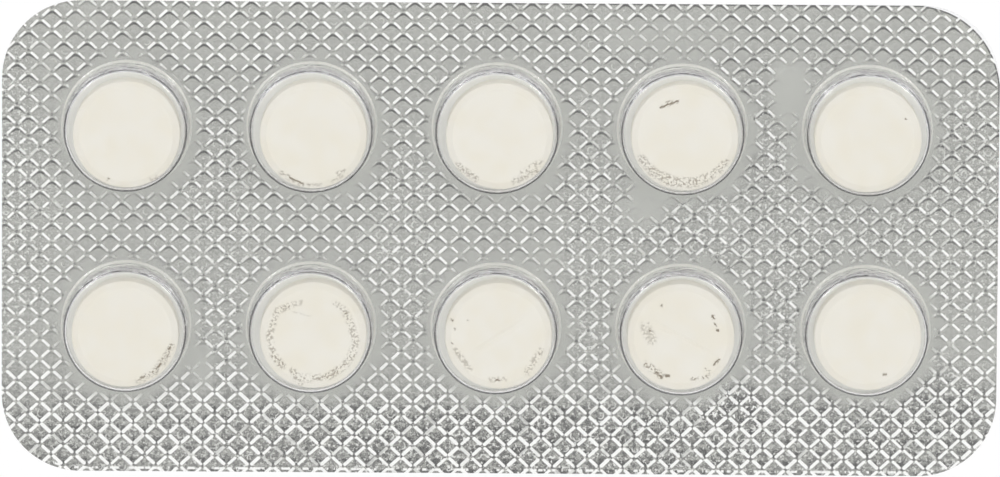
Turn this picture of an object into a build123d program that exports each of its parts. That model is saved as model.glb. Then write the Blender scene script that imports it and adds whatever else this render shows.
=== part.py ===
from build123d import *
from math import ceil, hypot, radians, sqrt, tan
import os

# A blister pack of round tablets, lying on its foil with the pockets up.
# The origin is under the card's centre, +X runs along the card, and sizes are in millimetres.

# Card, as it is cut out after sealing
card_length = 84.0
card_width = 40.0
card_corner_radius = 6.6

# Flats that stand for each round of a pocket or tablet, which keeps the whole pack light
round_sides = 40

# Layout of the pockets, whose middle lies a little off the card's, as the card was cut out
pocket_columns = 5
pocket_rows = 2
column_pitch = 15.6
row_pitch = 17.0
pockets_shift_x = -0.31
pockets_shift_y = 0.95

# Lidding foil and the film that the pockets are formed in
foil_thickness = 0.03
film_thickness = 0.25

# Flat-faced tablet with bevelled edges and a score across one face
tablet_diameter = 9.0
tablet_thickness = 3.3
tablet_bevel_width = 0.55
tablet_bevel_height = 0.30
score_width = 0.40
score_depth = 0.14

# Room for the tablet in its pocket
side_clearance = 0.48
headroom = 0.60

# Form of the pocket, where the film draws thinnest at the shoulder
wall_draft = 4.5
formed_wall = 0.22
shoulder_wall = 0.07

# Diamond knurl that the sealing plate presses into the land between the pockets, which it
# leaves smooth in a ring round each pocket; the plate sits a little out of line with them
knurl_length = 1.97
knurl_width = 1.81
knurl_depth = 0.09
knurl_shift_x = 0.39
knurl_shift_y = -0.47
unsealed_margin = 0.48
seal_shift_x = 0.15
seal_shift_y = -0.35
cut_edge_margin = 0.30

# How each tablet lies, row by row from the far left: its slide in X and Y as shares of the side
# clearance, the turn of its score in degrees, and whether the scored face is up
tablet_lies = [
    (0.14, -0.88, 20, False),
    (0.34, -0.82, 75, False),
    (0.44, -0.76, 130, False),
    (0.36, -0.80, 165, False),
    (-0.04, -0.88, 50, False),
    (-0.02, -0.72, 110, False),
    (0.48, -0.70, 5, False),
    (0.48, -0.62, 33, True),
    (-0.02, -0.60, -29, True),
    (0.24, -0.46, 95, False),
]

# Heights and radii that follow from the sizes above
flange_top = foil_thickness + film_thickness
cavity_top = foil_thickness + tablet_thickness + headroom
pocket_top = cavity_top + formed_wall
shoulder = 2 * formed_wall - sqrt(2) * shoulder_wall
shoulder_start = pocket_top - shoulder
rim_radius = tablet_diameter / 2 + side_clearance + formed_wall
draft_run = tan(radians(wall_draft))
foot_radius = rim_radius + (shoulder_start - foil_thickness) * draft_run
seal_radius = foot_radius + unsealed_margin


def card_outline():
    return RectangleRounded(card_length, card_width, card_corner_radius)


def pocket_places():
    places = []
    for row in range(pocket_rows):
        for column in range(pocket_columns):
            x = pockets_shift_x + (column - (pocket_columns - 1) / 2) * column_pitch
            y = pockets_shift_y + ((pocket_rows - 1) / 2 - row) * row_pitch
            places.append((x, y))
    return places


def upright_round(radius, bottom, top, draft=0):
    # a round block that narrows upwards by the draft angle
    foot = Pos(0, 0, bottom) * RegularPolygon(radius, round_sides)
    return extrude(foot, top - bottom, taper=draft)


def pocket_outside():
    # the drafted wall and its shoulder, from the film's underside to the pocket's top
    block = upright_round(foot_radius, foil_thickness, pocket_top, wall_draft)
    return chamfer(block.faces().sort_by(Axis.Z)[-1].edges(), shoulder)


def pocket_inside():
    # the cavity, open at the film's underside
    return upright_round(foot_radius - formed_wall, foil_thickness, cavity_top, wall_draft)


def inside_card(x, y):
    # true where a point lies on the card, clear of its cut edge
    from_end = card_length / 2 - cut_edge_margin - abs(x)
    from_side = card_width / 2 - cut_edge_margin - abs(y)
    corner = card_corner_radius - cut_edge_margin
    if from_end < 0 or from_side < 0:
        return False
    if from_end < corner and from_side < corner:
        return hypot(corner - from_end, corner - from_side) < corner
    return True


def on_seal(x, y):
    # true where a point lies on the sealed land, outside every pocket's smooth ring
    for px, py in pocket_places():
        if hypot(x - px - seal_shift_x, y - py - seal_shift_y) < seal_radius:
            return False
    return inside_card(x, y)


def knurl_cells():
    # the four corners of each whole diamond, in rows that are offset by half a cell
    rows_each_way = ceil(card_width / knurl_width)
    cells_each_way = ceil(card_length / knurl_length / 2)
    cells = []
    for row in range(-rows_each_way, rows_each_way + 1):
        for cell in range(-cells_each_way, cells_each_way + 1):
            x = knurl_shift_x + (cell + row % 2 / 2) * knurl_length
            y = knurl_shift_y + row * knurl_width / 2
            corners = [
                (x - knurl_length / 2, y),
                (x, y - knurl_width / 2),
                (x + knurl_length / 2, y),
                (x, y + knurl_width / 2),
            ]
            if all(on_seal(*corner) for corner in corners):
                cells.append((x, y, corners))
    return cells


def knurled_flange():
    # a flat sheet whose top is pressed into one shallow four-sided pit for each cell
    flat = extrude(Pos(0, 0, foil_thickness) * card_outline(), film_thickness)
    top = flat.faces().sort_by(Axis.Z)[-1]
    others = [face for face in flat.faces() if face != top]
    lids = []
    pits = []
    for x, y, corners in knurl_cells():
        rim = [Vector(cx, cy, flange_top) for cx, cy in corners]
        floor = Vector(x, y, flange_top - knurl_depth)
        lids.append(Face(Wire.make_polygon(rim)))
        for start, end in zip(rim, rim[1:] + rim[:1]):
            pits.append(Face(Wire.make_polygon([start, end, floor])))
    land = top.cut(*lids)
    return Solid(Shell(land.faces() + others + pits))


def blister_film():
    film = knurled_flange()
    outside = pocket_outside()
    inside = pocket_inside()
    places = [Pos(x, y, 0) for x, y in pocket_places()]
    film = film + [place * outside for place in places]
    return film - [place * inside for place in places]


def lidding_foil():
    return extrude(card_outline(), foil_thickness)


def bevelled(shape, side):
    # the bevel round a tablet's bottom face, side 0, or its top face, side -1
    face = shape.faces().sort_by(Axis.Z)[side]
    return chamfer(face.edges(), tablet_bevel_width, tablet_bevel_height, reference=face)


def tablet():
    # resting on Z = 0 with its scored face up and the score along X
    body = upright_round(tablet_diameter / 2, 0, tablet_thickness)
    body = bevelled(bevelled(body, 0), -1)
    groove = Plane.YZ * make_face(Polyline(
        (-score_width / 2, tablet_thickness),
        (0, tablet_thickness - score_depth),
        (score_width / 2, tablet_thickness),
        close=True,
    ))
    return body - extrude(groove, tablet_diameter, both=True)


def placed_tablet(shape, place, lie):
    slide_x, slide_y, turn, scored_up = lie
    if not scored_up:
        shape = Pos(0, 0, tablet_thickness) * Rot(180, 0, 0) * shape
    x = place[0] + slide_x * side_clearance
    y = place[1] + slide_y * side_clearance
    return Pos(x, y, foil_thickness) * Rot(0, 0, turn) * shape


os.makedirs("parts", exist_ok=True)
export_step(lidding_foil(), "parts/lidding_foil.step")
export_step(blister_film(), "parts/blister_film.step")
scored_tablet = tablet()
for index, place in enumerate(pocket_places()):
    lie = tablet_lies[index % len(tablet_lies)]
    piece = placed_tablet(scored_tablet, place, lie)
    export_step(piece, f"parts/tablet_{index + 1:02d}.step")
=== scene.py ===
import bpy
import bmesh
import math
from mathutils import Matrix, Vector, noise
from mathutils.geometry import delaunay_2d_cdt


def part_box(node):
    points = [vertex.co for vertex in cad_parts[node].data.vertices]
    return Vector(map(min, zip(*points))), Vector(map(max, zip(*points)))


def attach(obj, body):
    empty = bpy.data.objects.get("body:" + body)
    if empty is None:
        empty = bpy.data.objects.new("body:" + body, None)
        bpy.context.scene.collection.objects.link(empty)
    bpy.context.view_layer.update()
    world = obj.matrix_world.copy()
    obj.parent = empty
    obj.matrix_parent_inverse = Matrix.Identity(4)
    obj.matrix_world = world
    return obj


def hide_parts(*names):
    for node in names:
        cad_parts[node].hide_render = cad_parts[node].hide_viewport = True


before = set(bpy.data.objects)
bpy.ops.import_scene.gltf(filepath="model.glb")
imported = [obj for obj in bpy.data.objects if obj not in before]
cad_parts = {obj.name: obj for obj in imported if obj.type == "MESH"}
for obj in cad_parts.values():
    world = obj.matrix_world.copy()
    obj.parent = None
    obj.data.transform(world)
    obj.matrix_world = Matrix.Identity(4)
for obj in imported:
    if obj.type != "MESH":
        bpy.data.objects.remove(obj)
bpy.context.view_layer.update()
mm = 0.001
print("frame loaded")


# What the frame gives of the card, in millimetres
foilLow, foilHigh = (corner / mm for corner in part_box("lidding_foil"))
filmLow, filmHigh = (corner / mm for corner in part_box("blister_film"))

card = {
    "length": foilHigh.x - foilLow.x,
    "width": foilHigh.y - foilLow.y,
    "cornerRadius": 6.6,
    "cornerSteps": 66,
    "edgeStep": 0.16,          # spacing of points along the cut edge
    "latticeInset": 0.07,      # how far the knurl's own points stay inside the cut edge
}

pockets = {
    "columns": 5,
    "rows": 2,
    "columnPitch": 15.6,
    "rowPitch": 17.0,
    "shiftX": -0.31,           # from the card's middle to the pockets' middle
    "shiftY": 0.95,
    "holeRadius": 5.72,        # where the land ends and the pocket's foot begins
    "ringRadius": 5.90,        # of the smooth unsealed ring, which sits a little off the pocket
    "ringShiftX": 0.15,
    "ringShiftY": -0.35,
    "latticeRoom": 0.06,       # between a pocket's foot and the nearest of the knurl's own points
    "sides": 72,
    "wallSteps": 7,            # of each pocket's profile between its foot and its shoulder
    "topRings": (4.1, 3.1, 1.9, 0.8),
}

knurl = {
    "length": 1.97,            # of one diamond cell, along the card
    "width": 1.81,             # and across it
    "shiftX": 0.61,            # from the card's centre to a cell's centre
    "shiftY": -0.54,
    "halfRidge": 0.10,         # all three as shares of a cell's side
    "gapStart": 0.05,
    "gapEnd": 0.10,
    "ridgeHeight": 0.035,
    "fadeWidth": 0.18,         # over which the knurl starts outside the smooth ring
    "heightChange": 0.3,       # how much lower than the others the weakest ridges are
    "heightScale": 0.7,
    "heightRange": (0.32, 0.62),
    "foldHeight": 0.09,        # of the crumples
    "foldScale": 1.3,
    "foldRange": (0.35, 0.75),
    "wobble": 0.05,            # of the lines, which aren't quite straight
    "wobbleScale": 0.45,
}
knurl["spacing"] = knurl["length"] * knurl["width"] / math.hypot(knurl["length"], knurl["width"])

# How every patch below fades at its edge, which is a little ragged
patchEdge = {
    "ragged": 0.35,
    "raggedScale": 0.9,
    "seed": 3.1,
    "solid": 0.55,             # share of its size within which a patch is at full strength
    "gone": 1.15,
}

# Soft patches where the seal was pressed faintly: x, y, half sizes along x and y, share lost
faintPatches = [
    (24.4, 12.3, 2.0, 3.2, 1.0),
    (14.7, 17.2, 6.2, 1.9, 0.55),
    (25.4, 7.6, 1.5, 3.4, 0.8),
    (12.1, 3.0, 2.2, 2.2, 0.95),
    (3.9, -1.8, 1.5, 1.6, 0.6),
    (-25.0, -10.8, 1.3, 1.9, 0.9),
    (-35.0, 18.2, 1.8, 1.3, 0.5),
]

# Where the card was handled and its land is crumpled: x, y, half sizes along x and y, strength
crumples = [
    (19.6, -14.6, 3.4, 2.4, 1.0),
    (25.5, -8.5, 2.2, 3.5, 0.7),
    (33.0, -12.0, 6.0, 6.0, 0.45),
    (2.0, -18.0, 16.0, 2.2, 0.5),
    (24.5, 1.2, 8.0, 2.2, 0.45),
    (-38.5, 4.0, 2.5, 8.0, 0.25),
    (-21.5, -1.0, 2.0, 5.0, 0.3),
    (-4.5, 12.5, 1.5, 2.2, 0.25),
]

# Where the plate's points left dark pits and specks, and where the painted glints of the curls and the
# painted shade of the near floors are stronger, in and between the cells, in the same terms
pitAndPaintedLightPatches = [
    (3.0, -17.6, 24.0, 4.2, 1.0),
    (0.0, -17.6, 90.0, 4.6, 0.65),
    (-23.7, 0.0, 2.8, 12.0, 0.5),
    (-8.1, 0.0, 2.8, 12.0, 0.5),
    (7.5, 0.0, 2.8, 12.0, 0.5),
    (-41.5, 3.0, 3.6, 17.0, 0.6),
    (-24.0, 5.5, 3.6, 5.0, 0.5),
    (-24.0, -7.5, 3.0, 6.0, 0.6),
    (24.5, -5.5, 2.6, 7.5, 0.9),
    (23.0, 5.5, 3.0, 6.5, 0.8),
    (19.8, -14.8, 3.8, 3.0, 1.0),
    (34.0, -14.5, 9.0, 5.0, 0.85),
    (24.0, 2.0, 20.0, 14.0, 0.6),
    (16.0, 0.5, 9.0, 3.6, 0.75),
    (39.5, 3.0, 4.0, 12.0, 0.6),
    (-8.0, -6.5, 2.4, 5.0, 0.5),
    (7.8, -7.0, 2.6, 6.0, 0.6),
]

# Where the ridges that rise to the right were pressed less than those that fall, in the same terms
weakRising = [
    (27.0, 8.0, 18.0, 13.0, 0.45),
    (26.0, -6.0, 12.0, 8.0, 0.25),
]


def pocketPlaces():
    places = []
    for row in range(pockets["rows"]):
        for column in range(pockets["columns"]):
            x = pockets["shiftX"] + (column - (pockets["columns"] - 1) / 2) * pockets["columnPitch"]
            y = pockets["shiftY"] + ((pockets["rows"] - 1) / 2 - row) * pockets["rowPitch"]
            places.append((x, y))
    return places


places = pocketPlaces()


def circlePoints(centre, radius, sides):
    points = []
    for step in range(sides):
        angle = 2 * math.pi * step / sides
        points.append((centre[0] + radius * math.cos(angle), centre[1] + radius * math.sin(angle)))
    return points


def cardOutline():
    # counter-clockwise round the cut edge, with straight stretches divided finely
    radius = card["cornerRadius"]
    halfX = card["length"] / 2 - radius
    halfY = card["width"] / 2 - radius
    corners = []
    for quarter, (sx, sy) in enumerate([(1, 1), (-1, 1), (-1, -1), (1, -1)]):
        for step in range(card["cornerSteps"] + 1):
            angle = math.pi / 2 * (quarter + step / card["cornerSteps"])
            corners.append((sx * halfX + radius * math.cos(angle), sy * halfY + radius * math.sin(angle)))
    points = []
    for start, end in zip(corners, corners[1:] + corners[:1]):
        parts = max(1, round(math.dist(start, end) / card["edgeStep"]))
        for part in range(parts):
            share = part / parts
            points.append((start[0] + (end[0] - start[0]) * share, start[1] + (end[1] - start[1]) * share))
    return points


def edgeDistance(x, y):
    # how far inside the card's outline a point lies
    radius = card["cornerRadius"]
    overX = abs(x) - (card["length"] / 2 - radius)
    overY = abs(y) - (card["width"] / 2 - radius)
    outside = math.hypot(max(overX, 0), max(overY, 0))
    return radius - outside - min(max(overX, overY), 0)


def pocketDistance(x, y):
    return min(math.dist((x, y), place) for place in places)


def ringDistance(x, y):
    return min(math.dist((x - pockets["ringShiftX"], y - pockets["ringShiftY"]), place) for place in places)


def smooth(value, low, high):
    share = min(max((value - low) / (high - low), 0), 1)
    return share * share * (3 - 2 * share)


def patchStrength(x, y, patches):
    # the strongest of the soft-edged patches at this point
    spot = Vector((x * patchEdge["raggedScale"], y * patchEdge["raggedScale"], patchEdge["seed"]))
    ragged = patchEdge["ragged"] * noise.noise(spot)
    strength = 0
    for px, py, halfX, halfY, share in patches:
        reach = math.hypot((x - px) / halfX, (y - py) / halfY) + ragged
        strength = max(strength, share * (1 - smooth(reach, patchEdge["solid"], patchEdge["gone"])))
    return strength


def pressStrength(x, y):
    # 0 on the smooth rings, 1 where the seal is fully pressed
    fade = knurl["fadeWidth"]
    sealed = smooth(ringDistance(x, y), pockets["ringRadius"], pockets["ringRadius"] + fade)
    sealed *= smooth(pocketDistance(x, y), pockets["holeRadius"], pockets["holeRadius"] + fade)
    return sealed * (1 - patchStrength(x, y, faintPatches))


def latticeMesh():
    # points along the ridge lines, so that every ridge gets a crest, two flanks and two feet
    half = knurl["halfRidge"]
    shares = [0, half / 2, half, 1 - half, 1 - half / 2]
    aShift = -0.5 + (knurl["shiftX"] / knurl["length"] + knurl["shiftY"] / knurl["width"])
    bShift = -0.5 + (knurl["shiftY"] / knurl["width"] - knurl["shiftX"] / knurl["length"])
    reach = math.ceil(card["length"] / 2 / knurl["length"] + card["width"] / 2 / knurl["width"]) + 1
    steps = [whole + share for whole in range(-reach, reach + 1) for share in shares]
    ringRoom = pockets["holeRadius"] + pockets["latticeRoom"]
    index = {}
    points = []
    for i, a in enumerate(steps):
        for j, b in enumerate(steps):
            x = (a + aShift - b - bShift) * knurl["length"] / 2
            y = (a + aShift + b + bShift) * knurl["width"] / 2
            if edgeDistance(x, y) > card["latticeInset"] and pocketDistance(x, y) > ringRoom:
                index[i, j] = len(points)
                points.append((x, y))
    edges = []
    for (i, j), start in index.items():
        for neighbour in ((i + 1, j), (i, j + 1)):
            if neighbour in index:
                edges.append((start, index[neighbour]))
    return points, edges


def flatLand():
    # the land between the pockets as triangles: points, faces and the ring of cut-edge points
    points, edges = latticeMesh()
    outline = cardOutline()
    loops = [outline] + [circlePoints(place, pockets["holeRadius"], pockets["sides"]) for place in places]
    for loop in loops:
        first = len(points)
        points += loop
        edges += [(first + step, first + (step + 1) % len(loop)) for step in range(len(loop))]
    made = delaunay_2d_cdt([Vector(point) for point in points], edges, [], 0, 1e-6, False)
    holeEdge = pockets["holeRadius"] * math.cos(math.pi / pockets["sides"])
    faces = []
    for face in made[2]:
        x = sum(made[0][corner].x for corner in face) / 3
        y = sum(made[0][corner].y for corner in face) / 3
        if edgeDistance(x, y) > 0 and pocketDistance(x, y) > holeEdge:
            faces.append(face)
    used = sorted({corner for face in faces for corner in face})
    renumber = {old: new for new, old in enumerate(used)}
    points = [tuple(made[0][old]) for old in used]
    return points, [[renumber[corner] for corner in face] for face in faces], outline


landPoints, landFaces, cardEdge = flatLand()
print("land divided:", len(landPoints), "points,", len(landFaces), "faces")


def addFaces(work, points, faces, flipped=False):
    corners = [work.verts.new(point) for point in points]
    for face in faces:
        order = face[::-1] if flipped else face
        work.faces.new([corners[corner] for corner in order])


def addLand(work, height, flipped=False):
    addFaces(work, [(x, y, height) for x, y in landPoints], landFaces, flipped)


def addCutEdge(work, low, high):
    count = len(cardEdge)
    points = [(x, y, low) for x, y in cardEdge] + [(x, y, high) for x, y in cardEdge]
    faces = [(step, (step + 1) % count, count + (step + 1) % count, count + step) for step in range(count)]
    addFaces(work, points, faces)


def addLathe(work, profile, centre, sides, flipped=False, ripple=None):
    # turns a profile of (radius, height) from its outer end to the middle; radius 0 closes it
    points = []
    faces = []
    for radius, height in profile:
        if radius == 0:
            points.append((centre[0], centre[1], height))
            continue
        for x, y in circlePoints((0, 0), radius, sides):
            grow = 1 + ripple(x, y, height, centre) / radius if ripple else 1
            points.append((centre[0] + x * grow, centre[1] + y * grow, height))
    for ring in range(len(profile) - 1):
        for step in range(sides):
            here = ring * sides + step
            beside = ring * sides + (step + 1) % sides
            if profile[ring + 1][0] == 0:
                faces.append((here, beside, (ring + 1) * sides))
            else:
                faces.append((here, beside, beside + sides, here + sides))
    addFaces(work, points, faces, flipped)


def finishMesh(work, name, sharpAngle=50):
    # closes the seams, measures in metres from here on, and shades smooth but for real corners
    bmesh.ops.remove_doubles(work, verts=work.verts, dist=0.0005)
    bmesh.ops.scale(work, vec=(mm, mm, mm), verts=work.verts)
    mesh = bpy.data.meshes.new(name)
    work.to_mesh(mesh)
    work.free()
    for face in mesh.polygons:
        face.use_smooth = True
    mesh.set_sharp_from_angle(angle=math.radians(sharpAngle))
    piece = bpy.data.objects.new(name, mesh)
    bpy.context.scene.collection.objects.link(piece)
    return piece


landMarks = {
    "foldGain": 4,             # folds start as soon as the seal is a little pressed
    "pitsAndPaintedLightLeast": 0.35,       # share of the pits and painted light that every pressed place has
    "floorLightStart": 0.1,          # inside a pocket's foot, where the painted light on its floor begins
    "floorLightFull": 0.4,
}


def markLand(piece):
    # what the knurl tree and the materials read at each point of a sheet
    names = ("press", "crumple", "pitsAndPaintedLight", "rising", "floorLight")
    for name in names:
        piece.data.attributes.new(name, "FLOAT", "POINT")
    press, crumple, pitsAndPaintedLight, rising, floorLight = (piece.data.attributes[name] for name in names)
    hole = pockets["holeRadius"]
    least = landMarks["pitsAndPaintedLightLeast"]
    for point in piece.data.vertices:
        x, y = point.co.x / mm, point.co.y / mm
        pressed = pressStrength(x, y)
        press.data[point.index].value = pressed
        folded = min(1, pressed * landMarks["foldGain"])
        crumple.data[point.index].value = folded * patchStrength(x, y, crumples)
        pitsAndPaintedLight.data[point.index].value = pressed * (least + (1 - least) * patchStrength(x, y, pitAndPaintedLightPatches))
        rising.data[point.index].value = pressed * (1 - patchStrength(x, y, weakRising))
        onLand = smooth(pocketDistance(x, y), hole - landMarks["floorLightFull"], hole - landMarks["floorLightStart"])
        floorLight.data[point.index].value = 1 - onLand


# Small helpers for every node tree
def addNode(tree, kind, **settings):
    made = tree.nodes.new(kind)
    for name, value in settings.items():
        setattr(made, name, value)
    return made


def feed(tree, socket, value):
    if isinstance(value, bpy.types.NodeSocket):
        tree.links.new(value, socket)
    else:
        socket.default_value = value


def feedAll(tree, made, values):
    for name, value in values.items():
        feed(tree, made.inputs[name], value)


def nodeOutput(tree, kind, values, output=0, **settings):
    made = addNode(tree, kind, **settings)
    feedAll(tree, made, values)
    return made.outputs[output]


def calc(tree, operation, *values):
    return nodeOutput(tree, "ShaderNodeMath", dict(enumerate(values)), operation=operation)


def plus(tree, *values):
    total = values[0]
    for value in values[1:]:
        total = calc(tree, "ADD", total, value)
    return total


def minus(tree, first, second):
    return calc(tree, "SUBTRACT", first, second)


def times(tree, *values):
    product = values[0]
    for value in values[1:]:
        product = calc(tree, "MULTIPLY", product, value)
    return product


def greatest(tree, *values):
    most = values[0]
    for value in values[1:]:
        most = calc(tree, "MAXIMUM", most, value)
    return most


def length2(tree, x, y):
    return calc(tree, "SQRT", plus(tree, times(tree, x, x), times(tree, y, y)))


def ramp(tree, value, low, high, start=0.0, end=1.0, curve="SMOOTHSTEP"):
    values = {"Value": value, "From Min": low, "From Max": high, "To Min": start, "To Max": end}
    return nodeOutput(tree, "ShaderNodeMapRange", values, "Result", interpolation_type=curve)


def fade(tree, value, low, high):
    # the ramp the other way round, from 1 down to 0
    return ramp(tree, value, low, high, 1.0, 0.0)


def noiseAt(tree, vector, scale, detail=2.0, roughness=0.5):
    values = {"Vector": vector, "Scale": scale, "Detail": detail, "Roughness": roughness}
    return nodeOutput(tree, "ShaderNodeTexNoise", values, noise_dimensions="3D")


def scaledVector(tree, vector, factor):
    return nodeOutput(tree, "ShaderNodeVectorMath", {0: vector, "Scale": factor}, operation="SCALE")


def splitVector(tree, vector):
    made = addNode(tree, "ShaderNodeSeparateXYZ")
    feed(tree, made.inputs[0], vector)
    return made.outputs["X"], made.outputs["Y"], made.outputs["Z"]


def joinVector(tree, x, y, z=0.0):
    return nodeOutput(tree, "ShaderNodeCombineXYZ", {"X": x, "Y": y, "Z": z})


def latticeShares(tree, given, x, y, detail):
    # the two running numbers across the diagonals; a ridge lies where one of them is whole
    sway = minus(tree, noiseAt(tree, joinVector(tree, x, y), knurl["wobbleScale"], detail), 0.5)
    sway = times(tree, sway, given["Wobble"])
    alongX = minus(tree, plus(tree, x, sway), given["Shift X"])
    alongY = minus(tree, minus(tree, y, sway), given["Shift Y"])
    alongX = calc(tree, "DIVIDE", alongX, given["Cell Length"])
    alongY = calc(tree, "DIVIDE", alongY, given["Cell Width"])
    return plus(tree, alongX, alongY, 0.5), plus(tree, minus(tree, alongY, alongX), 0.5)


def ridgeShape(tree, given, across, along):
    # 1 on a ridge's crest, 0 on the cell floors and at the crossings
    crest = fade(tree, calc(tree, "PINGPONG", across, 0.5), 0.0, given["Half Ridge"])
    fromCrossing = calc(tree, "PINGPONG", along, 0.5)
    return times(tree, crest, ramp(tree, fromCrossing, given["Gap Start"], given["Gap End"]))


def knurlTree():
    # raises the diamond ridges and the crumples of a sealed sheet, both faces alike
    tree = bpy.data.node_groups.new("knurl press", "GeometryNodeTree")
    sockets = tree.interface
    sockets.new_socket("Geometry", in_out="OUTPUT", socket_type="NodeSocketGeometry")
    sockets.new_socket("Geometry", in_out="INPUT", socket_type="NodeSocketGeometry")
    for name in ("Cell Length", "Cell Width", "Shift X", "Shift Y", "Half Ridge", "Gap Start", "Gap End",
                 "Ridge Height", "Height Change", "Crumple Height", "Wobble"):
        sockets.new_socket(name, in_out="INPUT", socket_type="NodeSocketFloat")
    sockets.new_socket("Material", in_out="INPUT", socket_type="NodeSocketMaterial")
    given = addNode(tree, "NodeGroupInput").outputs

    def stored(name):
        kind = "GeometryNodeInputNamedAttribute"
        return nodeOutput(tree, kind, {"Name": name}, "Attribute", data_type="FLOAT")

    place = scaledVector(tree, addNode(tree, "GeometryNodeInputPosition").outputs[0], 1 / mm)
    x, y, height = splitVector(tree, place)
    flatPlace = joinVector(tree, x, y)
    a, b = latticeShares(tree, given, x, y, 2.0)
    falling = times(tree, ridgeShape(tree, given, a, b), stored("press"))
    rising = times(tree, ridgeShape(tree, given, b, a), stored("rising"))
    uneven = ramp(tree, noiseAt(tree, flatPlace, knurl["heightScale"], 3.0), *knurl["heightRange"])
    share = minus(tree, 1.0, times(tree, given["Height Change"], minus(tree, 1.0, uneven)))
    raised = times(tree, greatest(tree, falling, rising), share, given["Ridge Height"])
    folds = ramp(tree, noiseAt(tree, flatPlace, knurl["foldScale"]), *knurl["foldRange"])
    folds = times(tree, folds, given["Crumple Height"], stored("crumple"))

    lift = joinVector(tree, 0.0, 0.0, times(tree, plus(tree, raised, folds), mm))
    moved = nodeOutput(tree, "GeometryNodeSetPosition", {"Geometry": given["Geometry"], "Offset": lift})
    real = nodeOutput(tree, "GeometryNodeRealizeInstances", {"Geometry": moved})
    painted = nodeOutput(tree, "GeometryNodeSetMaterial", {"Geometry": real, "Material": given["Material"]})
    feedAll(tree, addNode(tree, "NodeGroupOutput"), {"Geometry": painted})
    return tree


def applyTree(piece, tree, values):
    # runs the tree on the piece and keeps the result as its plain mesh, with flat cell floors
    modifier = piece.modifiers.new(tree.name, "NODES")
    modifier.node_group = tree
    for item in tree.interface.items_tree:
        if item.item_type == "SOCKET" and item.in_out == "INPUT" and item.name in values:
            modifier[item.identifier] = values[item.name]
    evenNormals = piece.modifiers.new("even normals", "WEIGHTED_NORMAL")
    evenNormals.keep_sharp = True
    bpy.context.view_layer.update()
    evaluated = piece.evaluated_get(bpy.context.evaluated_depsgraph_get())
    mesh = bpy.data.meshes.new_from_object(evaluated)
    piece.modifiers.clear()
    piece.data = mesh


def knurlPlace():
    # what the pressing tree and the marks share, so that they fall on the same lines
    return {
        "Cell Length": knurl["length"],
        "Cell Width": knurl["width"],
        "Shift X": knurl["shiftX"],
        "Shift Y": knurl["shiftY"],
        "Wobble": knurl["wobble"],
    }


def knurlValues(material):
    return knurlPlace() | {
        "Half Ridge": knurl["halfRidge"],
        "Gap Start": knurl["gapStart"],
        "Gap End": knurl["gapEnd"],
        "Ridge Height": knurl["ridgeHeight"],
        "Height Change": knurl["heightChange"],
        "Crumple Height": knurl["foldHeight"],
        "Material": material,
    }


def newMaterial(name):
    material = bpy.data.materials.new(name)
    material.use_nodes = True
    material.node_tree.nodes.clear()
    return material, material.node_tree


def objectMillimetres(tree):
    spot = addNode(tree, "ShaderNodeTexCoord").outputs["Object"]
    return scaledVector(tree, spot, 1 / mm)


def randomAt(tree, x, y, seed):
    # three random numbers that stay the same over one cell or one ridge
    values = {"Vector": joinVector(tree, x, y, seed)}
    made = nodeOutput(tree, "ShaderNodeTexWhiteNoise", values, "Color", noise_dimensions="3D")
    return splitVector(tree, made)


def mixColour(tree, share, first, second):
    values = {"Factor": share, "A": first, "B": second}
    return nodeOutput(tree, "ShaderNodeMix", values, "Result", data_type="RGBA")


def mixShader(tree, share, first, second):
    return nodeOutput(tree, "ShaderNodeMixShader", {0: share, 1: first, 2: second})


def bumpNormal(tree, height, distance):
    return nodeOutput(tree, "ShaderNodeBump", {"Distance": distance * mm, "Height": height})


def showSurface(tree, surface):
    feedAll(tree, addNode(tree, "ShaderNodeOutputMaterial"), {"Surface": surface})


def attributeValue(tree, name):
    return addNode(tree, "ShaderNodeAttribute", attribute_name=name).outputs["Fac"]


# Lengths in millimetres and places as shares of a cell; a pair is where a soft step starts and ends,
# and a foursome a step with its two levels, by which a random number makes some marks fainter
knurlMark = {
    "nearSide": (-8.0, -14.0),            # along Y, where the second of the next two pairs takes over
    "dashWidth": (0.09, 0.128),           # half the width of the painted highlight dash along a ridge
    "dashGap": (0.32, 0.23),              # from a crossing to the middle of a dash's round end
    "gapChange": 0.12,
    "widthChange": (0.75, 1.15),
    "dashSoft": 0.03,
    "dashShift": 0.02,
    "faintDashes": (0.02, 0.16, 0.4, 1.0),
    "crossingSize": (0.09, 0.21),
    "faintCrossings": (0.1, 0.5, 0.2, 1.0),
    "archPlace": 0.385,                   # of the painted shade arch under a cell's two far sides
    "archRound": 0.6,
    "archWidth": (0.0216, 0.0936),
    "archShade": (-0.2, 0.6, 0.3, 1.0),
    "faintArches": (0.0, 0.5, 0.45, 1.0),
    "pitRadius": (0.096, 0.36),
    "pitWander": (0.2, 0.16),
    "pitSquash": 1.3,
    "faintPits": (0.0, 0.4),
    "curlRadius": 0.27,
    "curlWidth": (0.02, 0.075),
    "curlTurn": 1.7,
    "curlPart": (0.18, 0.26),
    "curlShare": (0.8, 0.95),
    # where the painted shade towards a cell's near corner starts and ends
    "nearCornerShade": (0.05, -0.5),
    "seeds": {"falling": 3.0, "rising": 11.0, "crossing": 23.0, "arch": 57.0, "pit": 41.0},
}


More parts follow.
